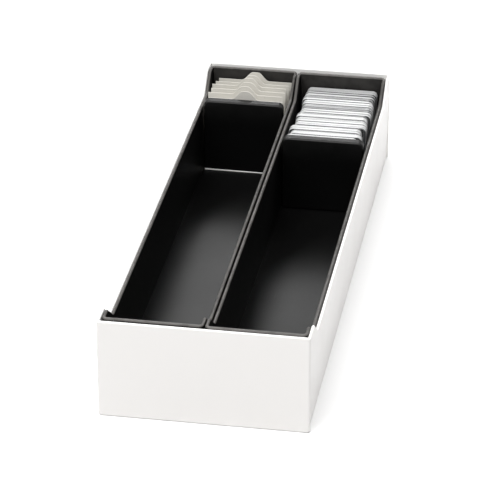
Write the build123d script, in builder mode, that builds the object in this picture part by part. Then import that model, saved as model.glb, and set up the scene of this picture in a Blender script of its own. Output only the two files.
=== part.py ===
"""Coin capsule box: an open case with two lift-out trays, followers, cards and capsules.

Millimetres. +Z is up, the front panel faces -Y, and the origin is on the ground under
the middle of the case.
"""

from build123d import *
from math import radians, tan
import os

# Case: one moulding, open at the top, with low long sides between two high ends.
case_length = 385.0
case_width = 130.0
case_height = 65.5
case_side_height = 53.0
case_wall = 1.8
case_floor = 2.0
# Each long side leans in by this much at its foot. The two end panels stay upright.
case_lean = 1.2
case_front_corner_radius = 1.5
case_back_corner_radius = 2.4
case_rim_bevel = 0.6
case_foot_bevel = 0.8

# Ramps that take the long sides from the high ends down to the low middle.
ramp_angle = 37.5
ramp_shoulder_radius = 4.0
ramp_foot_radius = 6.0
case_front_land = 17.0
case_back_land = 14.0

# Trays: two alike, side by side in the case, each with its own stepped sides. Each
# stands on a low rim under its floor, and has thicker walls at its two ends.
tray_wall = 2.0
tray_end_wall = 3.0
tray_floor = 2.0
tray_foot_height = 2.2
tray_foot_width = 4.0
tray_draft = 0.9
tray_rim_drop = 0.3
tray_side_rise = 1.0
tray_front_land = 11.6
tray_back_land = 10.4
tray_corner_radius = 3.5
tray_inner_corner_radius = 1.5
tray_rim_bevel = 0.6
tray_gap = 0.7
tray_side_gap = 0.5
tray_end_play = 6.2
left_tray_back_gap = 3.6
right_tray_back_gap = 4.6

# Followers: shallow moulded plates, open at the back, that keep the contents upright.
follower_clearance = 0.33
follower_height = 53.3
follower_depth = 6.0
follower_wall = 1.6
follower_corner_radius = 4.0
follower_edge_bevel = 0.9
follower_rib_thickness = 1.2
left_follower_space = 38.3
right_follower_space = 87.6

# Index cards. Each place is how far the card stands in front of the tray's back wall,
# and how far it has slipped sideways, as a share of its play.
card_side_play = 2.0
card_height = 51.9
card_thickness = 0.5
card_corner_radius = 1.0
tab_height = 6.3
tab_foot_width = 17.0
tab_top_width = 6.0
tab_radius = 4.0
card_places = [
    (1.8, 0.95),
    (7.4, 0.25),
    (12.4, -0.55),
    (19.4, -0.3),
    (26.5, -0.75),
    (35.0, 0.05),
]

# Capsules: a base with a round coin recess, and a lid with a square frame that plugs
# into a seat in the base. They have slipped sideways by these shares of their play.
capsule_size = 50.0
capsule_thickness = 6.25
capsule_corner_radius = 3.5
capsule_face = 1.4
capsule_rim = 1.8
capsule_seat_depth = 0.9
capsule_frame_width = 2.4
capsule_frame_clearance = 0.08
coin_recess_diameter = 24.5
capsule_pitch = 7.1
capsule_back_space = 1.0
capsule_slips = [
    0.4,
    0.21,
    0.06,
    0.37,
    0.52,
    0.46,
    -0.03,
    0.19,
    0.28,
    -0.52,
    -0.05,
    -0.79,
]

# Worked out from the values above.
cut_margin = 10.0
half_length = case_length / 2
half_width = case_width / 2
case_inner_half_length = half_length - case_wall
tray_bottom = case_floor
tray_rim = case_height - tray_rim_drop
tray_side_rim = case_side_height + tray_side_rise
tray_height = tray_rim - tray_bottom
tray_floor_height = tray_foot_height + tray_floor
tray_floor_top = tray_bottom + tray_floor_height
tray_width = (case_width - tray_gap) / 2 - case_wall - tray_side_gap
tray_length = case_length - 2 * case_wall - tray_end_play
tray_centre = (tray_width + tray_gap) / 2
# The draft takes this much off each side of the tray where its floor begins inside.
floor_inset = (tray_rim - tray_floor_top) * tan(radians(tray_draft))
floor_half_width = tray_width / 2 - tray_wall - floor_inset
floor_half_length = tray_length / 2 - tray_end_wall - floor_inset
follower_width = 2 * (floor_half_width - follower_clearance)
card_width = 2 * (floor_half_width - card_side_play)
capsule_side_play = floor_half_width - capsule_size / 2

parts_folder = "parts"
os.makedirs(parts_folder, exist_ok=True)


def keep(piece, label):
    """Name a finished piece and write its STEP file."""
    piece.label = label
    export_step(piece, f"{parts_folder}/{label}.step")


def tray_middle_y(back_gap):
    """The Y of a tray's middle when its back stands this far from the case's back."""
    return case_inner_half_length - back_gap - tray_length / 2


def tray_back_y(back_gap):
    """The Y of the foot of a tray's back wall, inside."""
    return tray_middle_y(back_gap) + floor_half_length


def rim_edges(piece, above, wall):
    """The long edges of a walled piece's rim, without the short ones across the wall."""
    facing_up = piece.faces().filter_by(lambda face: face.normal_at().Z > 0.3)
    rim_faces = facing_up.filter_by(lambda face: face.center().Z > above)
    return rim_faces.edges().filter_by(
        lambda edge: edge.length > 2 * wall or abs(edge.tangent_at(0.5).X) < 0.9
    )


def corner_edges(piece):
    """The edges that run up the corners of a piece, upright or nearly so."""
    return piece.edges().filter_by(lambda edge: abs(edge.tangent_at(0.5).Z) > 0.9)


def upright_walls(piece):
    """The walls of a piece that have no draft yet."""
    return piece.faces().filter_by(lambda face: abs(face.normal_at().Z) < 1e-6)


def cutaway(front, back, low, high):
    """Outline, seen from the side, of what the low middle leaves out of a long side."""
    run = (high - low) / tan(radians(ramp_angle))
    with BuildSketch(Plane.YZ) as outline:
        with BuildLine():
            FilletPolyline(
                (front - cut_margin, high),
                (front, high),
                (front + run, low),
                (back - run, low),
                (back, high),
                (back + cut_margin, high),
                radius=[
                    ramp_shoulder_radius,
                    ramp_foot_radius,
                    ramp_foot_radius,
                    ramp_shoulder_radius,
                ],
            )
            Polyline(
                (back + cut_margin, high),
                (back + cut_margin, high + cut_margin),
                (front - cut_margin, high + cut_margin),
                (front - cut_margin, high),
            )
        make_face()
    return outline.sketch


# Case
lean_start = case_height - 2 * case_rim_bevel
lean_slope = case_lean / lean_start
lean_foot = half_width - case_lean
case_inner_top = half_width - case_wall
case_inner_foot = case_inner_top - lean_slope * (lean_start - case_floor)

with BuildPart() as case:
    with BuildSketch():
        Rectangle(case_width, case_length)
    extrude(amount=case_height)
    upright_corners = case.edges().filter_by(Axis.Z).group_by(Axis.Y)
    fillet(upright_corners[0], radius=case_front_corner_radius)
    upright_corners = case.edges().filter_by(Axis.Z).group_by(Axis.Y)
    fillet(upright_corners[-1], radius=case_back_corner_radius)
    chamfer(case.faces().sort_by(Axis.Z)[0].edges(), length=case_foot_bevel)
    # The inside narrows towards the floor, because the long sides lean in.
    with BuildSketch(Plane.XZ.offset(case_inner_half_length)):
        with BuildLine():
            Polyline(
                (-case_inner_top, case_height),
                (case_inner_top, case_height),
                (case_inner_foot, case_floor),
                (-case_inner_foot, case_floor),
                close=True,
            )
        make_face()
    extrude(amount=-2 * case_inner_half_length, mode=Mode.SUBTRACT)
    extrude(
        cutaway(
            case_front_land - half_length,
            half_length - case_back_land,
            case_side_height,
            case_height,
        ),
        amount=half_width + cut_margin,
        both=True,
        mode=Mode.SUBTRACT,
    )
    chamfer(rim_edges(case, case_floor + case_wall, case_wall), length=case_rim_bevel)
    # The lean is a thin wedge off each long side, between the two upright panels.
    with BuildSketch(Plane.XZ.offset(case_inner_half_length)):
        for side in (-1, 1):
            with BuildLine():
                Polyline(
                    (side * half_width, lean_start),
                    (side * (lean_foot + lean_slope * case_foot_bevel), case_foot_bevel),
                    (side * (lean_foot - case_foot_bevel), 0),
                    (side * (half_width + cut_margin), 0),
                    (side * (half_width + cut_margin), lean_start),
                    close=True,
                )
            make_face()
    extrude(amount=-2 * case_inner_half_length, mode=Mode.SUBTRACT)
keep(case.part, "case")


# Trays
def make_tray(centre_x, centre_y):
    """One tray, drafted all round, with its long sides cut down between two ramps."""
    middle = (centre_x, centre_y, tray_bottom)
    with BuildPart() as tray:
        with BuildSketch(Plane(middle)):
            Rectangle(tray_width, tray_length)
        extrude(amount=tray_height)
        draft(upright_walls(tray), Plane.XY.offset(tray_rim), -tray_draft)
        with BuildSketch(Plane(middle).offset(tray_floor_height)):
            Rectangle(tray_width - 2 * tray_wall, tray_length - 2 * tray_end_wall)
        extrude(amount=tray_height - tray_floor_height, mode=Mode.SUBTRACT)
        draft(upright_walls(tray), Plane.XY.offset(tray_rim), tray_draft)
        inner_corners = corner_edges(tray).sort_by_distance(middle)[:4]
        fillet(inner_corners, radius=tray_inner_corner_radius)
        outer_corners = corner_edges(tray).sort_by_distance(middle)[-4:]
        fillet(outer_corners, radius=tray_corner_radius)
        extrude(
            Pos(X=centre_x)
            * cutaway(
                centre_y - tray_length / 2 + tray_front_land,
                centre_y + tray_length / 2 - tray_back_land,
                tray_side_rim,
                tray_rim,
            ),
            amount=tray_width,
            both=True,
            mode=Mode.SUBTRACT,
        )
        chamfer(
            rim_edges(tray, tray_floor_top + tray_wall, tray_wall),
            length=tray_rim_bevel,
        )
        with BuildSketch(Plane(middle)):
            Rectangle(tray_width - 2 * tray_foot_width, tray_length - 2 * tray_foot_width)
        extrude(amount=tray_foot_height, mode=Mode.SUBTRACT)
    return tray.part


left_tray_y = tray_middle_y(left_tray_back_gap)
right_tray_y = tray_middle_y(right_tray_back_gap)
keep(make_tray(-tray_centre, left_tray_y), "left_tray")
keep(make_tray(tray_centre, right_tray_y), "right_tray")


# Followers
def make_follower(centre_x, front_y):
    """A shallow moulded plate with a rounded front, open at the back, and two ribs."""
    top = tray_floor_top + follower_height
    inner_width = follower_width - 2 * follower_wall
    with BuildPart() as follower:
        with BuildSketch(Plane.XZ.offset(-front_y)) as outline:
            with Locations((centre_x, (tray_floor_top + top) / 2)):
                Rectangle(follower_width, follower_height)
            fillet(outline.vertices().group_by(Axis.Y)[-1], follower_corner_radius)
        extrude(amount=-follower_depth)
        chamfer(follower.faces().sort_by(Axis.Y)[0].edges(), length=follower_edge_bevel)
        with BuildSketch(Plane.XZ.offset(-front_y - follower_wall)) as hollow:
            with Locations((centre_x, (tray_floor_top + top) / 2)):
                Rectangle(inner_width, follower_height - 2 * follower_wall)
            fillet(
                hollow.vertices().group_by(Axis.Y)[-1],
                follower_corner_radius - follower_wall,
            )
        extrude(amount=-follower_depth, mode=Mode.SUBTRACT)
        with BuildSketch(Plane.XZ.offset(-front_y - follower_wall)):
            with Locations((centre_x, (tray_floor_top + top) / 2)):
                with GridLocations(follower_width / 3, 0, 2, 1):
                    Rectangle(
                        follower_rib_thickness,
                        follower_height - 2 * follower_wall,
                    )
        extrude(amount=-(follower_depth - 2 * follower_wall))
    return follower.part


left_follower_y = tray_back_y(left_tray_back_gap) - left_follower_space
right_follower_y = tray_back_y(right_tray_back_gap) - right_follower_space
keep(make_follower(-tray_centre, left_follower_y - follower_depth), "left_follower")
keep(make_follower(tray_centre, right_follower_y - follower_depth), "right_follower")


# Index cards
def make_card(centre_x, back_y):
    """A thin card with one rounded tab in the middle of its top edge."""
    with BuildPart() as card:
        with BuildSketch(Plane.XZ.offset(-back_y)) as outline:
            with BuildLine():
                Polyline(
                    (centre_x - card_width / 2, tray_floor_top),
                    (centre_x + card_width / 2, tray_floor_top),
                    (centre_x + card_width / 2, tray_floor_top + card_height),
                    (centre_x + tab_foot_width / 2, tray_floor_top + card_height),
                    (centre_x + tab_top_width / 2, tray_floor_top + card_height + tab_height),
                    (centre_x - tab_top_width / 2, tray_floor_top + card_height + tab_height),
                    (centre_x - tab_foot_width / 2, tray_floor_top + card_height),
                    (centre_x - card_width / 2, tray_floor_top + card_height),
                    close=True,
                )
            make_face()
            rows = outline.vertices().group_by(Axis.Y)
            tab_feet = rows[1].sort_by(Axis.X)[1:-1]
            card_corners = rows[0] + [rows[1].sort_by(Axis.X)[0], rows[1].sort_by(Axis.X)[-1]]
            fillet(rows[2] + tab_feet, radius=tab_radius)
            fillet(card_corners, radius=card_corner_radius)
        extrude(amount=card_thickness)
    return card.part


for number, (space, slip) in enumerate(card_places, start=1):
    card_back = tray_back_y(left_tray_back_gap) - space
    centre_x = slip * card_side_play - tray_centre
    keep(make_card(centre_x, card_back), f"index_card_{number}")


# Capsules
def capsule_plane(centre_x, parting_y, outward):
    """The parting plane of a capsule, facing +Y where outward is 1 and -Y where it is -1."""
    middle_z = tray_floor_top + capsule_size / 2
    return Plane((centre_x, parting_y, middle_z), x_dir=(1, 0, 0), z_dir=(0, outward, 0))


def capsule_base(parting):
    """The half with a square seat for the lid's frame and a round recess for the coin."""
    seat = capsule_size - 2 * capsule_rim
    with BuildPart() as base:
        with BuildSketch(parting):
            RectangleRounded(capsule_size, capsule_size, capsule_corner_radius)
        extrude(amount=capsule_thickness / 2)
        with BuildSketch(parting):
            Rectangle(seat, seat)
        extrude(amount=capsule_seat_depth, mode=Mode.SUBTRACT)
        with BuildSketch(parting):
            Circle(coin_recess_diameter / 2)
        extrude(amount=capsule_thickness / 2 - capsule_face, mode=Mode.SUBTRACT)
    return base.part


def capsule_lid(parting):
    """The half with a square frame that stands proud of its parting face."""
    frame = capsule_size - 2 * (capsule_rim + capsule_frame_clearance)
    opening = frame - 2 * capsule_frame_width
    with BuildPart() as lid:
        with BuildSketch(parting):
            RectangleRounded(capsule_size, capsule_size, capsule_corner_radius)
        extrude(amount=capsule_thickness / 2)
        with BuildSketch(parting):
            Rectangle(frame, frame)
        extrude(amount=capsule_frame_clearance - capsule_seat_depth)
        with BuildSketch(parting.offset(-capsule_seat_depth)):
            Rectangle(opening, opening)
        extrude(
            amount=capsule_seat_depth + capsule_thickness / 2 - capsule_face,
            mode=Mode.SUBTRACT,
        )
    return lid.part


for number, slip in enumerate(capsule_slips, start=1):
    back_face = tray_back_y(right_tray_back_gap) - capsule_back_space
    parting_y = back_face - (number - 1) * capsule_pitch - capsule_thickness / 2
    centre_x = tray_centre + slip * capsule_side_play
    base = capsule_base(capsule_plane(centre_x, parting_y, 1))
    lid = capsule_lid(capsule_plane(centre_x, parting_y, -1))
    keep(base, f"capsule_{number:02d}_base")
    keep(lid, f"capsule_{number:02d}_lid")
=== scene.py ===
from math import radians

import bmesh
import bpy
from bpy.props import FloatProperty, FloatVectorProperty, PointerProperty
from mathutils import Euler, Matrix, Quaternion, Vector


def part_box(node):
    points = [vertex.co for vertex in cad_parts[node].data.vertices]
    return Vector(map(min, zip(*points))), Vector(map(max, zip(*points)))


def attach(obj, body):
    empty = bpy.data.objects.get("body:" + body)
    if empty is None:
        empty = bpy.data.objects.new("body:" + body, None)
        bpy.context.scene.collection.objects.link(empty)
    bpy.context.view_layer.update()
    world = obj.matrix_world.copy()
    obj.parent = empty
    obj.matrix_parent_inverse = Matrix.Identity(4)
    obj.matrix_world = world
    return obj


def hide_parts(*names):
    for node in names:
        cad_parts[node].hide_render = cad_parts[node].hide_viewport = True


bl_info = {
    "name": "Coin capsule box",
    "version": (1, 0, 0),
    "blender": (4, 5, 0),
    "location": "3D View > Sidebar > Capsule Box",
    "description": "Finishes a coin capsule box, its trays, cards and capsules",
    "category": "Object",
}

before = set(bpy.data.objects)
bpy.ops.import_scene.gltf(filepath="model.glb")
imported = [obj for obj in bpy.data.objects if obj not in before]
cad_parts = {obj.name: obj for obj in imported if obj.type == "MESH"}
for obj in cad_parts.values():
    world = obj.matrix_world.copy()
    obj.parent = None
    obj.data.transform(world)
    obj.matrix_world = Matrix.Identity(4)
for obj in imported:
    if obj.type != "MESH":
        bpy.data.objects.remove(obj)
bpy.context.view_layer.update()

MERGE_DISTANCE = 1e-6
FLAT_ANGLE = radians(0.3)
SHARP_ANGLE = radians(30)
SMOOTH_ANGLE = radians(40)
EDGE_SEGMENTS = 3
BUMP_DISTANCE = 0.0001

# Size of the pale strip at the left follower's foot, a painted highlight.
FOOT_HIGHLIGHT_INSET = 0.0006
FOOT_HIGHLIGHT_HEIGHT = 0.0010
FOOT_HIGHLIGHT_DEPTH = 0.0012
FOOT_HIGHLIGHT_BED = 0.0004
FOOT_HIGHLIGHT_TAPER = 0.7 * FOOT_HIGHLIGHT_HEIGHT
FOOT_HIGHLIGHT_ROUND = 0.1 * FOOT_HIGHLIGHT_HEIGHT
FOOT_HIGHLIGHT_SEGMENTS = 2

DUST_COLOUR = (0.3, 0.29, 0.27)
CASE_RIM_HEIGHT = 0.05
TRAY_RIM_HEIGHT = 0.0525
FOLLOWER_RIM_HEIGHT = 0.0575
WINDOW_FACING = (0.45, 0.9)

SENSOR_WIDTH = 36.0
CAMERA_PLACE = (0.2760, -1.6773, 0.9161)
CAMERA_TURN = (radians(62.18), 0.0, radians(9.46))


def length(name, description, default):
    """A length property, in metres."""
    return FloatProperty(
        name=name,
        description=description,
        default=default,
        min=0.0,
        precision=5,
        subtype="DISTANCE",
        unit="LENGTH",
    )


def colour(name, description, default):
    """A colour property."""
    return FloatVectorProperty(
        name=name,
        description=description,
        default=default,
        size=3,
        min=0.0,
        max=1.0,
        subtype="COLOR",
    )


def share(name, description, default):
    """A property from 0 to 1."""
    return FloatProperty(
        name=name,
        description=description,
        default=default,
        min=0.0,
        max=1.0,
        subtype="FACTOR",
    )


class CaseSettings(bpy.types.PropertyGroup):
    """The white case."""

    edge_round: length("Edge round", "How far the case's edges are rounded", 0.0003)
    plastic: colour("Plastic", "Colour of the moulded case", (0.73, 0.715, 0.7))
    # Inner faces are painted paler than the plastic: painted light that lifts the shade
    # within the case.
    inside: colour("Inside", "Colour of the case's inner faces", (0.95, 0.94, 0.92))
    # A painted highlight on the case's top rims.
    rim_light_colour: colour("Rims", "Colour of the case's handled rims", (0.95, 0.94, 0.92))
    roughness: share("Roughness", "How dull the case is", 0.32)


class TraySettings(bpy.types.PropertyGroup):
    """The two dark trays."""

    edge_round: length("Edge round", "How far the trays' edges are rounded", 0.0003)
    plastic: colour("Plastic", "Colour of the trays", (0.001, 0.001, 0.001))
    # A painted highlight on the trays' rims, and painted light on the upper part of
    # their front faces.
    rim_light_colour: colour("Rims", "Colour of the handled rims", (0.103, 0.0975, 0.092))
    roughness: share("Roughness", "How dull the trays are", 0.45)


class FollowerSettings(bpy.types.PropertyGroup):
    """The two sliding plates."""

    edge_round: length("Edge round", "How far their edges are rounded", 0.0003)
    plastic: colour("Plastic", "Colour of the followers", (0.001, 0.001, 0.001))
    # A painted highlight on the followers' upper edge, and painted light on the upper
    # part of their front faces.
    rim_light_colour: colour("Rims", "Colour of the handled upper edge", (0.02, 0.0195, 0.019))
    # The pale strip at the left foot is a painted highlight.
    foot: colour("Foot strip", "Colour of the left foot's strip", (0.9, 0.9, 0.87))
    roughness: share("Roughness", "How dull the followers are", 0.45)


class CardSettings(bpy.types.PropertyGroup):
    """The index cards."""

    stock: colour("Card stock", "Colour of the cards", (0.7, 0.68, 0.627))
    fleck: colour("Flecks", "Colour of the flecks in the card", (0.5, 0.47, 0.41))


class CapsuleSettings(bpy.types.PropertyGroup):
    """The coin capsules."""

    edge_round: length("Edge round", "How far their edges are rounded", 0.0008)
    # The pale tint of the clear edges is painted light, standing in for the light the
    # clear plastic carries.
    polystyrene: colour("Polystyrene", "Tint of the edges", (0.6, 0.605, 0.605))
    # The flat faces are painted dark: painted shade that shows as dark lines between
    # the capsules.
    window: colour("Windows", "Tint of the clear flat faces", (0.2, 0.207, 0.21))
    window_haze: share("Window haze", "How much of the clear flat faces shows", 0.2)
    # Dark bands painted across the edges: painted reflection.
    painted_reflection: colour("Streaks", "Tint of the edges' streaks", (0.05, 0.053, 0.056))
    clearness: share("Clearness", "How much light passes through the edges", 0.1)
    roughness: share("Roughness", "How dull the capsules are", 0.4)


class StageSettings(bpy.types.PropertyGroup):
    """Floor, lights and camera."""

    floor_colour: colour("Floor", "Colour of the floor", (0.96, 0.96, 0.96))
    floor_size: length("Floor size", "Width of the square floor", 12.0)
    room_light: FloatProperty(
        name="Room light",
        description="Strength of the even light from all round",
        default=0.035,
        min=0.0,
    )
    top_power: FloatProperty(
        name="Top light",
        description="Power of the large light overhead",
        default=64.0,
        min=0.0,
        unit="POWER",
    )
    front_power: FloatProperty(
        name="Front light",
        description="Power of the soft light at the front left",
        default=21.3,
        min=0.0,
        unit="POWER",
    )
    right_power: FloatProperty(
        name="Right light",
        description="Power of the soft light at the right",
        default=13.0,
        min=0.0,
        unit="POWER",
    )
    back_power: FloatProperty(
        name="Back light",
        description="Power of the long soft light behind, which the tray floors mirror",
        default=21.0,
        min=0.0,
        unit="POWER",
    )
    focal_length: FloatProperty(
        name="Focal length",
        description="Focal length of the camera, in millimetres",
        default=209.8,
        min=1.0,
    )


def merged_copy(node):
    """A CAD node's surface as a new bmesh, its loose triangles joined into faces."""
    bm = bmesh.new()
    bm.from_mesh(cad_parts[node].data)
    bmesh.ops.remove_doubles(bm, verts=bm.verts, dist=MERGE_DISTANCE)
    bmesh.ops.dissolve_limit(
        bm,
        angle_limit=FLAT_ANGLE,
        use_dissolve_boundaries=False,
        verts=bm.verts,
        edges=bm.edges,
    )
    return bm


def sharp_edges(bm):
    """The edges where two faces meet at a clear angle."""
    return [
        edge
        for edge in bm.edges
        if len(edge.link_faces) == 2 and edge.calc_face_angle(0.0) > SHARP_ANGLE
    ]


def round_edges(bm, edges, width, segments=EDGE_SEGMENTS):
    """Round these edges with a bevel of the given width."""
    bmesh.ops.bevel(
        bm,
        geom=edges,
        offset=width,
        offset_type="OFFSET",
        affect="EDGES",
        segments=segments,
        profile=0.5,
        material=-1,
        clamp_overlap=True,
    )


def new_object(bm, name, material):
    """Use up the bmesh for an object at the origin, with one material."""
    mesh = bpy.data.meshes.new(name)
    bm.to_mesh(mesh)
    bm.free()
    mesh.materials.append(material)
    new = bpy.data.objects.new(name, mesh)
    bpy.context.scene.collection.objects.link(new)
    return new


def rounded_piece(node, name, material, body, width):
    """Replace a CAD node by a copy with rounded edges, which rides on its body."""
    bm = merged_copy(node)
    round_edges(bm, sharp_edges(bm), width)
    piece = new_object(bm, name, material)
    for polygon in piece.data.polygons:
        polygon.use_smooth = True
    piece.data.set_sharp_from_angle(angle=SMOOTH_ANGLE)
    normals = piece.modifiers.new("Even normals", "WEIGHTED_NORMAL")
    normals.keep_sharp = True
    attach(piece, body)
    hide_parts(node)


def new_group(name, inputs, outputs):
    """A shader node group with these named float sockets, and its in and out nodes."""
    group = bpy.data.node_groups.new(name, "ShaderNodeTree")
    for socket_name, default in inputs.items():
        socket = group.interface.new_socket(
            name=socket_name, in_out="INPUT", socket_type="NodeSocketFloat"
        )
        socket.default_value = default
    for socket_name in outputs:
        group.interface.new_socket(
            name=socket_name, in_out="OUTPUT", socket_type="NodeSocketFloat"
        )
    return (
        group,
        group.nodes.new("NodeGroupInput"),
        group.nodes.new("NodeGroupOutput"),
    )


def math_node(tree, operation, first, second):
    """A math node fed by sockets or numbers, and its result."""
    node = tree.nodes.new("ShaderNodeMath")
    node.operation = operation
    for socket, value in zip(node.inputs, (first, second)):
        if isinstance(value, bpy.types.NodeSocket):
            tree.links.new(value, socket)
        else:
            socket.default_value = value
    return node.outputs["Value"]


def range_node(tree, value, between, to=(0.0, 1.0)):
    """A smooth map from one range to another, and its result."""
    node = tree.nodes.new("ShaderNodeMapRange")
    node.interpolation_type = "SMOOTHSTEP"
    tree.links.new(value, node.inputs["Value"])
    node.inputs["From Min"].default_value = between[0]
    node.inputs["From Max"].default_value = between[1]
    for socket, amount in zip(("To Min", "To Max"), to):
        if isinstance(amount, bpy.types.NodeSocket):
            tree.links.new(amount, node.inputs[socket])
        else:
            node.inputs[socket].default_value = amount
    return node.outputs["Result"]


def noise_node(tree, scale, detail, stretch=(1.0, 1.0, 1.0)):
    """Noise on object coordinates, and its value."""
    place = tree.nodes.new("ShaderNodeTexCoord")
    mapping = tree.nodes.new("ShaderNodeMapping")
    mapping.inputs["Scale"].default_value = stretch
    noise = tree.nodes.new("ShaderNodeTexNoise")
    noise.inputs["Detail"].default_value = detail
    tree.links.new(place.outputs["Object"], mapping.inputs["Vector"])
    tree.links.new(mapping.outputs["Vector"], noise.inputs["Vector"])
    if isinstance(scale, bpy.types.NodeSocket):
        tree.links.new(scale, noise.inputs["Scale"])
    else:
        noise.inputs["Scale"].default_value = scale
    return noise.outputs["Fac"]


def moulded_grain():
    """Fine moulded texture, with broad patches that are a little duller."""
    group, given, made = new_group(
        "Moulded grain",
        {"Grain scale": 2500.0, "Roughness": 0.3, "Patchiness": 0.05},
        ("Height", "Roughness"),
    )
    grain = noise_node(group, scale=given.outputs["Grain scale"], detail=3.0)
    patches = noise_node(group, scale=28.0, detail=4.0)
    high = math_node(
        group, "ADD", given.outputs["Roughness"], given.outputs["Patchiness"]
    )
    low = math_node(
        group, "SUBTRACT", given.outputs["Roughness"], given.outputs["Patchiness"]
    )
    dull = range_node(group, patches, (0.35, 0.65), to=(low, high))
    group.links.new(grain, made.inputs["Height"])
    group.links.new(dull, made.inputs["Roughness"])
    return group


def hairlines():
    """Sparse hairline scuffs along the box, from pieces that slide in it."""
    group, given, made = new_group(
        "Hairlines",
        {"Scale": 90.0, "Amount": 0.5},
        ("Mask",),
    )
    lines = noise_node(
        group, scale=given.outputs["Scale"], detail=2.0, stretch=(14.0, 0.5, 14.0)
    )
    sparse = noise_node(group, scale=17.0, detail=2.0)
    thin = range_node(group, lines, (0.62, 0.7))
    where = range_node(group, sparse, (0.5, 0.65))
    both = math_node(group, "MULTIPLY", thin, where)
    mask = math_node(group, "MULTIPLY", both, given.outputs["Amount"])
    group.links.new(mask, made.inputs["Mask"])
    return group


def settled_dust():
    """Faint dust on faces that look up."""
    group, given, made = new_group(
        "Settled dust",
        {"Amount": 0.1},
        ("Mask",),
    )
    geometry = group.nodes.new("ShaderNodeNewGeometry")
    split = group.nodes.new("ShaderNodeSeparateXYZ")
    group.links.new(geometry.outputs["Normal"], split.inputs["Vector"])
    facing_up = range_node(group, split.outputs["Z"], (0.5, 1.0))
    fine = noise_node(group, scale=900.0, detail=2.0)
    specks = range_node(group, fine, (0.62, 0.78))
    broad = noise_node(group, scale=21.0, detail=3.0)
    drift = range_node(group, broad, (0.35, 0.7), to=(0.2, 1.0))
    mask = math_node(group, "MULTIPLY", facing_up, specks)
    mask = math_node(group, "MULTIPLY", mask, drift)
    mask = math_node(group, "MULTIPLY", mask, given.outputs["Amount"])
    group.links.new(mask, made.inputs["Mask"])
    return group


def painted_rim_light():
    """Painted light: a painted highlight on upward faces above a height, and painted
    light on the upper part of faces to the front, both in random patches.
    """
    group, given, made = new_group(
        "Painted edge light",
        {"Height": 0.05, "Rubbed front": 0.2},
        ("Mask",),
    )
    place = group.nodes.new("ShaderNodeTexCoord")
    position = group.nodes.new("ShaderNodeSeparateXYZ")
    facing = group.nodes.new("ShaderNodeSeparateXYZ")
    group.links.new(place.outputs["Object"], position.inputs["Vector"])
    group.links.new(place.outputs["Normal"], facing.inputs["Vector"])
    above = math_node(
        group, "GREATER_THAN", position.outputs["Z"], given.outputs["Height"]
    )
    upward = range_node(group, facing.outputs["Z"], (0.15, 0.6))
    patches = noise_node(group, scale=140.0, detail=3.0)
    # The painted light comes in random patches.
    rubbed = range_node(group, patches, (0.3, 0.6), to=(0.65, 1.0))
    # Painted light on the upper part of faces to the front, fading downwards.
    high = range_node(group, position.outputs["Z"], (0.04, 0.062))
    to_front = range_node(group, facing.outputs["Y"], (-0.6, -0.9))
    front = math_node(group, "MULTIPLY", high, to_front)
    front = math_node(group, "MULTIPLY", front, given.outputs["Rubbed front"])
    top = math_node(group, "MULTIPLY", above, upward)
    mask = math_node(group, "MAXIMUM", top, front)
    mask = math_node(group, "MULTIPLY", mask, rubbed)
    group.links.new(mask, made.inputs["Mask"])
    return group


def place_group(tree, group_name, **values):
    """Put a node group in a material, with its own values."""
    node = tree.nodes.new("ShaderNodeGroup")
    node.node_tree = bpy.data.node_groups[group_name]
    for name, value in values.items():
        node.inputs[name.replace("_", " ").capitalize()].default_value = value
    return node


def new_material(name):
    """A material with its Principled shader."""
    material = bpy.data.materials.new(name)
    material.use_nodes = True
    return material, material.node_tree, material.node_tree.nodes["Principled BSDF"]


def mix_colours(tree, mask, first, second):
    """Blend two colours by a mask, and put out the result."""
    node = tree.nodes.new("ShaderNodeMix")
    node.data_type = "RGBA"
    tree.links.new(mask, node.inputs["Factor"])
    for socket, value in (("A", first), ("B", second)):
        target = [i for i in node.inputs if i.name == socket and i.type == "RGBA"][0]
        if isinstance(value, bpy.types.NodeSocket):
            tree.links.new(value, target)
        else:
            target.default_value = (*value, 1.0)
    return [o for o in node.outputs if o.type == "RGBA"][0]


def shaded(tint, factor):
    """A colour times a factor."""
    return tuple(channel * factor for channel in tint)


def add_bump(tree, shader, height, strength):
    """Feed a height to the shader's normal."""
    bump = tree.nodes.new("ShaderNodeBump")
    bump.inputs["Strength"].default_value = strength
    bump.inputs["Distance"].default_value = BUMP_DISTANCE
    tree.links.new(height, bump.inputs["Height"])
    tree.links.new(bump.outputs["Normal"], shader.inputs["Normal"])


def white_plastic(settings):
    """Satin white moulded plastic, with painted light: inner faces painted paler to
    lift their shade, and a painted highlight on the top rims.
    """
    material, tree, shader = new_material("White moulded plastic")
    grain = place_group(
        tree,
        "Moulded grain",
        grain_scale=1800.0,
        roughness=settings.roughness,
        patchiness=0.04,
    )
    scuffs = place_group(tree, "Hairlines", scale=70.0, amount=0.25)
    plastic = tuple(settings.plastic)
    base = mix_colours(tree, scuffs.outputs["Mask"], plastic, shaded(plastic, 0.93))
    place = tree.nodes.new("ShaderNodeTexCoord")
    outward = tree.nodes.new("ShaderNodeVectorMath")
    outward.operation = "DOT_PRODUCT"
    tree.links.new(place.outputs["Object"], outward.inputs[0])
    tree.links.new(place.outputs["Normal"], outward.inputs[1])
    # Painted light: faces that look in towards the middle are painted paler to lift
    # their shade.
    inside = range_node(tree, outward.outputs["Value"], (0.0, -0.03))
    base = mix_colours(tree, inside, base, tuple(settings.inside))
    # Painted highlight on the case's top rims.
    painted_light = place_group(
        tree, "Painted edge light", height=CASE_RIM_HEIGHT, rubbed_front=0.0
    )
    base = mix_colours(tree, painted_light.outputs["Mask"], base, tuple(settings.rim_light_colour))
    tree.links.new(base, shader.inputs["Base Color"])
    tree.links.new(grain.outputs["Roughness"], shader.inputs["Roughness"])
    shader.inputs["IOR"].default_value = 1.5
    add_bump(tree, shader, grain.outputs["Height"], strength=0.06)
    return material


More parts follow.
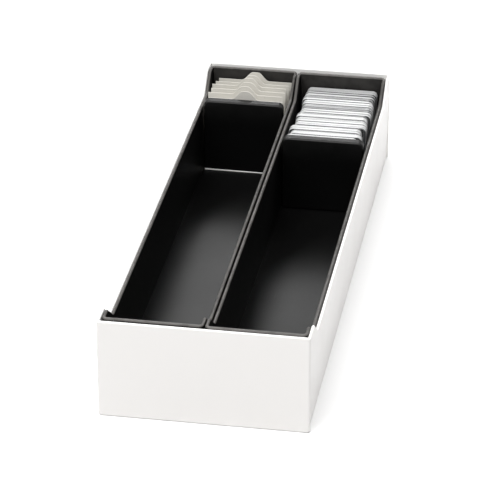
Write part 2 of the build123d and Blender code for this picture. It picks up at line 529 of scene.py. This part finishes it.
def dark_plastic(name, settings, grain_strength, rim_height):
    """Black moulded plastic with faint dust and scuffs, and a painted highlight on its
    rims and on the upper part of its front faces.
    """
    material, tree, shader = new_material(name)
    grain = place_group(
        tree,
        "Moulded grain",
        grain_scale=2600.0,
        roughness=settings.roughness,
        patchiness=0.012,
    )
    scuffs = place_group(tree, "Hairlines", scale=80.0, amount=0.3)
    dust = place_group(tree, "Settled dust", amount=0.05)
    worn = tuple(min(1.0, channel * 3.0 + 0.01) for channel in settings.plastic)
    base = mix_colours(tree, scuffs.outputs["Mask"], tuple(settings.plastic), worn)
    base = mix_colours(tree, dust.outputs["Mask"], base, DUST_COLOUR)
    # Painted highlight on the rims, and painted light on the upper part of faces to the
    # front.
    painted_light = place_group(tree, "Painted edge light", height=rim_height, rubbed_front=0.35)
    base = mix_colours(tree, painted_light.outputs["Mask"], base, tuple(settings.rim_light_colour))
    tree.links.new(base, shader.inputs["Base Color"])
    duller = math_node(tree, "MULTIPLY", dust.outputs["Mask"], 0.5)
    rough = math_node(tree, "ADD", grain.outputs["Roughness"], duller)
    tree.links.new(rough, shader.inputs["Roughness"])
    shader.inputs["Specular IOR Level"].default_value = 0.25
    shader.inputs["IOR"].default_value = 1.45
    add_bump(tree, shader, grain.outputs["Height"], strength=grain_strength)
    return material


def foot_highlight_paint(settings):
    """Pale satin plastic for the strip that stands in for the painted highlight at the
    left follower's foot.
    """
    material, tree, shader = new_material("Painted foot highlight")
    grain = place_group(
        tree,
        "Moulded grain",
        grain_scale=1200.0,
        roughness=0.35,
        patchiness=0.06,
    )
    scuffs = place_group(tree, "Hairlines", scale=120.0, amount=0.4)
    plastic = tuple(settings.foot)
    base = mix_colours(tree, scuffs.outputs["Mask"], plastic, shaded(plastic, 0.7))
    tree.links.new(base, shader.inputs["Base Color"])
    tree.links.new(grain.outputs["Roughness"], shader.inputs["Roughness"])
    add_bump(tree, shader, grain.outputs["Height"], strength=0.1)
    return material


def card_stock(settings):
    """Matt off-white card with faint flecks and fibres."""
    material, tree, shader = new_material("Index card stock")
    fibres = noise_node(tree, scale=700.0, detail=5.0, stretch=(1.0, 1.0, 0.25))
    clouds = noise_node(tree, scale=60.0, detail=3.0)
    clouds = range_node(tree, clouds, (0.3, 0.7))
    specks = noise_node(tree, scale=1500.0, detail=1.0)
    flecks = range_node(tree, specks, (0.68, 0.76), to=(0.0, 0.5))
    stock = tuple(settings.stock)
    base = mix_colours(tree, clouds, stock, shaded(stock, 0.94))
    base = mix_colours(tree, flecks, base, tuple(settings.fleck))
    tree.links.new(base, shader.inputs["Base Color"])
    rough = range_node(tree, fibres, (0.3, 0.7), to=(0.72, 0.88))
    tree.links.new(rough, shader.inputs["Roughness"])
    shader.inputs["IOR"].default_value = 1.45
    add_bump(tree, shader, fibres, strength=0.25)
    return material


def clear_polystyrene(settings):
    """Clear polystyrene: pale edges with painted reflection bands and a pale tint that
    stands in for light carried in the clear plastic, and flat faces to see through,
    painted dark as painted shade between the capsules.
    """
    material, tree, shader = new_material("Clear polystyrene")
    marks = place_group(tree, "Hairlines", scale=140.0, amount=0.6)
    grain = place_group(
        tree,
        "Moulded grain",
        grain_scale=900.0,
        roughness=settings.roughness,
        patchiness=0.05,
    )
    # The pale tint is painted light carried in the clear edges.
    tint = tuple(settings.polystyrene)
    base = mix_colours(tree, marks.outputs["Mask"], tint, shaded(tint, 0.88))
    place = tree.nodes.new("ShaderNodeTexCoord")
    facing = tree.nodes.new("ShaderNodeSeparateXYZ")
    tree.links.new(place.outputs["Normal"], facing.inputs["Vector"])
    # Painted reflection: dark bands across the edges.
    painted_reflections = noise_node(tree, scale=1.0, detail=3.0, stretch=(3.5, 520.0, 60.0))
    painted_reflections = range_node(tree, painted_reflections, (0.35, 0.49), to=(1.0, 0.0))
    base = mix_colours(tree, painted_reflections, base, tuple(settings.painted_reflection))
    # Painted shade: the flat faces are painted dark and seen as dark lines between the
    # capsules; they are also partly see-through.
    across = math_node(tree, "ABSOLUTE", facing.outputs["Y"], 0.0)
    window = range_node(tree, across, WINDOW_FACING)
    base = mix_colours(tree, window, base, tuple(settings.window))
    tree.links.new(base, shader.inputs["Base Color"])
    seen = range_node(tree, across, WINDOW_FACING, to=(1.0, settings.window_haze))
    tree.links.new(seen, shader.inputs["Alpha"])
    rough = math_node(tree, "MULTIPLY", marks.outputs["Mask"], 0.2)
    rough = math_node(tree, "ADD", rough, grain.outputs["Roughness"])
    tree.links.new(rough, shader.inputs["Roughness"])
    shader.inputs["IOR"].default_value = 1.59
    shader.inputs["Transmission Weight"].default_value = settings.clearness
    shader.inputs["Coat Weight"].default_value = 0.05
    shader.inputs["Specular IOR Level"].default_value = 0.25
    shader.inputs["Coat Roughness"].default_value = 0.05
    add_bump(tree, shader, grain.outputs["Height"], strength=0.05)
    return material


class CAPSULEBOX_OT_case(bpy.types.Operator):
    """Round the case's edges and give it its white finish."""

    bl_idname = "capsulebox.case"
    bl_label = "Case"

    def execute(self, context):
        settings = context.scene.capsulebox_case
        rounded_piece(
            "case",
            "white_case",
            white_plastic(settings),
            "case",
            settings.edge_round,
        )
        return {"FINISHED"}


class CAPSULEBOX_OT_trays(bpy.types.Operator):
    """Round the trays' edges and give them their black finish."""

    bl_idname = "capsulebox.trays"
    bl_label = "Trays"

    def execute(self, context):
        settings = context.scene.capsulebox_tray
        plastic = dark_plastic(
            "Tray plastic", settings, grain_strength=0.1, rim_height=TRAY_RIM_HEIGHT
        )
        for side in ("left", "right"):
            rounded_piece(
                f"{side}_tray",
                f"{side}_tray_shell",
                plastic,
                f"{side}_tray",
                settings.edge_round,
            )
        return {"FINISHED"}


class CAPSULEBOX_OT_followers(bpy.types.Operator):
    """Round the followers' edges, finish them in black and add a pale strip at the left
    foot, a painted highlight.
    """

    bl_idname = "capsulebox.followers"
    bl_label = "Followers"

    def execute(self, context):
        settings = context.scene.capsulebox_follower
        plastic = dark_plastic(
            "Follower plastic",
            settings,
            grain_strength=0.25,
            rim_height=FOLLOWER_RIM_HEIGHT,
        )
        for side in ("left", "right"):
            rounded_piece(
                f"{side}_follower",
                f"{side}_follower_plate",
                plastic,
                f"{side}_follower",
                settings.edge_round,
            )
        foot_highlight(settings)
        return {"FINISHED"}


def foot_highlight(settings):
    """A slim pale strip along the left follower's foot, a painted highlight, thinner to
    the right where the highlight fades.
    """
    low, high = (Vector(corner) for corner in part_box("left_follower"))
    bm = bmesh.new()
    bmesh.ops.create_cube(bm, size=1.0)
    width = high.x - low.x - 2 * FOOT_HIGHLIGHT_INSET
    bmesh.ops.scale(bm, vec=(width, FOOT_HIGHLIGHT_DEPTH, FOOT_HIGHLIGHT_HEIGHT), verts=bm.verts)
    right_top = [v for v in bm.verts if v.co.x > 0 and v.co.z > 0]
    bmesh.ops.translate(bm, vec=(0.0, 0.0, -FOOT_HIGHLIGHT_TAPER), verts=right_top)
    round_edges(bm, bm.edges[:], FOOT_HIGHLIGHT_ROUND, FOOT_HIGHLIGHT_SEGMENTS)
    middle = ((low.x + high.x) / 2, low.y + FOOT_HIGHLIGHT_BED, low.z + FOOT_HIGHLIGHT_HEIGHT / 2)
    bmesh.ops.translate(bm, vec=middle, verts=bm.verts)
    piece = new_object(bm, "left_follower_painted_highlight", foot_highlight_paint(settings))
    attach(piece, "left_follower")


class CAPSULEBOX_OT_cards(bpy.types.Operator):
    """Give the index cards their card finish."""

    bl_idname = "capsulebox.cards"
    bl_label = "Index cards"

    def execute(self, context):
        stock = card_stock(context.scene.capsulebox_card)
        for name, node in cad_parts.items():
            if name.startswith("index_card"):
                for slot in node.material_slots:
                    slot.material = stock
        return {"FINISHED"}


class CAPSULEBOX_OT_capsules(bpy.types.Operator):
    """Round the capsules' edges and give them their clear finish."""

    bl_idname = "capsulebox.capsules"
    bl_label = "Capsules"

    def execute(self, context):
        settings = context.scene.capsulebox_capsule
        polystyrene = clear_polystyrene(settings)
        for node in sorted(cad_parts):
            if node.startswith("capsule"):
                rounded_piece(
                    node,
                    f"clear_{node}",
                    polystyrene,
                    node.rpartition("_")[0],
                    settings.edge_round,
                )
        return {"FINISHED"}


class CAPSULEBOX_OT_stage(bpy.types.Operator):
    """Make the floor, the lights and the camera."""

    bl_idname = "capsulebox.stage"
    bl_label = "Stage"

    def execute(self, context):
        settings = context.scene.capsulebox_stage
        make_floor(settings)
        make_lights(context, settings)
        make_camera(context, settings)
        return {"FINISHED"}


def make_floor(settings):
    """A plain pale floor."""
    bm = bmesh.new()
    bmesh.ops.create_grid(bm, x_segments=1, y_segments=1, size=settings.floor_size / 2)
    material, _, shader = new_material("Floor paper")
    shader.inputs["Base Color"].default_value = (*settings.floor_colour, 1.0)
    shader.inputs["Roughness"].default_value = 0.9
    shader.inputs["Specular IOR Level"].default_value = 0.1
    floor = new_object(bm, "floor", material)


def aimed_light(context, name, place, width, height, power, roll=0.0):
    """An area light at a place, aimed at the middle of the box and rolled."""
    data = bpy.data.lights.new(name, "AREA")
    data.shape = "RECTANGLE"
    data.size = width
    data.size_y = height
    data.energy = power
    light = bpy.data.objects.new(name, data)
    context.scene.collection.objects.link(light)
    light.location = place
    aim = (-Vector(place)).to_track_quat("-Z", "Y")
    light.rotation_euler = (aim @ Quaternion((0.0, 0.0, 1.0), roll)).to_euler()


def make_lights(context, settings):
    """Faint even room light and four soft boxes."""
    world = bpy.data.worlds.new("Studio")
    world.use_nodes = True
    background = world.node_tree.nodes["Background"]
    background.inputs["Color"].default_value = (1.0, 1.0, 1.0, 1.0)
    background.inputs["Strength"].default_value = settings.room_light
    context.scene.world = world
    aimed_light(
        context,
        "top",
        place=(0.0, -1.0, 2.2),
        width=2.0,
        height=2.0,
        power=settings.top_power,
    )
    aimed_light(
        context,
        "front",
        place=(-1.2, -1.8, 2.1),
        width=1.2,
        height=1.2,
        power=settings.front_power,
    )
    aimed_light(
        context,
        "right",
        place=(1.15, 1.1, 1.1),
        width=1.1,
        height=0.9,
        power=settings.right_power,
    )
    aimed_light(
        context,
        "back",
        place=(-0.74, 1.275, 1.26),
        width=2.1,
        height=0.15,
        power=settings.back_power,
        roll=radians(26),
    )
    context.scene.view_settings.view_transform = "Standard"


def make_camera(context, settings):
    """A long lens from the front right, looking down."""
    data = bpy.data.cameras.new("camera")
    data.lens = settings.focal_length
    data.sensor_width = SENSOR_WIDTH
    camera = bpy.data.objects.new("camera", data)
    context.scene.collection.objects.link(camera)
    camera.location = CAMERA_PLACE
    camera.rotation_euler = Euler(CAMERA_TURN)
    context.scene.camera = camera


class CAPSULEBOX_PT_panel(bpy.types.Panel):
    """The box's pieces, with the sizes and colours of each."""

    bl_idname = "CAPSULEBOX_PT_panel"
    bl_label = "Capsule Box"
    bl_space_type = "VIEW_3D"
    bl_region_type = "UI"
    bl_category = "Capsule Box"

    def draw(self, context):
        for operator, settings_name in PIECES:
            box = self.layout.box()
            box.operator(operator.bl_idname)
            settings = getattr(context.scene, settings_name)
            for name in settings.__annotations__:
                box.prop(settings, name)


PIECES = (
    (CAPSULEBOX_OT_case, "capsulebox_case"),
    (CAPSULEBOX_OT_trays, "capsulebox_tray"),
    (CAPSULEBOX_OT_followers, "capsulebox_follower"),
    (CAPSULEBOX_OT_cards, "capsulebox_card"),
    (CAPSULEBOX_OT_capsules, "capsulebox_capsule"),
    (CAPSULEBOX_OT_stage, "capsulebox_stage"),
)
SETTINGS = {
    "capsulebox_case": CaseSettings,
    "capsulebox_tray": TraySettings,
    "capsulebox_follower": FollowerSettings,
    "capsulebox_card": CardSettings,
    "capsulebox_capsule": CapsuleSettings,
    "capsulebox_stage": StageSettings,
}


def register():
    for name, settings in SETTINGS.items():
        bpy.utils.register_class(settings)
        setattr(bpy.types.Scene, name, PointerProperty(type=settings))
    for operator, _ in PIECES:
        bpy.utils.register_class(operator)
    bpy.utils.register_class(CAPSULEBOX_PT_panel)


def unregister():
    bpy.utils.unregister_class(CAPSULEBOX_PT_panel)
    for operator, _ in reversed(PIECES):
        bpy.utils.unregister_class(operator)
    for name, settings in SETTINGS.items():
        delattr(bpy.types.Scene, name)
        bpy.utils.unregister_class(settings)


def main():
    """Register the add-on and make every piece in order."""
    register()
    moulded_grain()
    hairlines()
    settled_dust()
    painted_rim_light()
    bpy.ops.capsulebox.case()
    bpy.ops.capsulebox.trays()
    bpy.ops.capsulebox.followers()
    bpy.ops.capsulebox.cards()
    bpy.ops.capsulebox.capsules()
    bpy.ops.capsulebox.stage()
    bpy.context.view_layer.update()


if __name__ == "__main__":
    main()
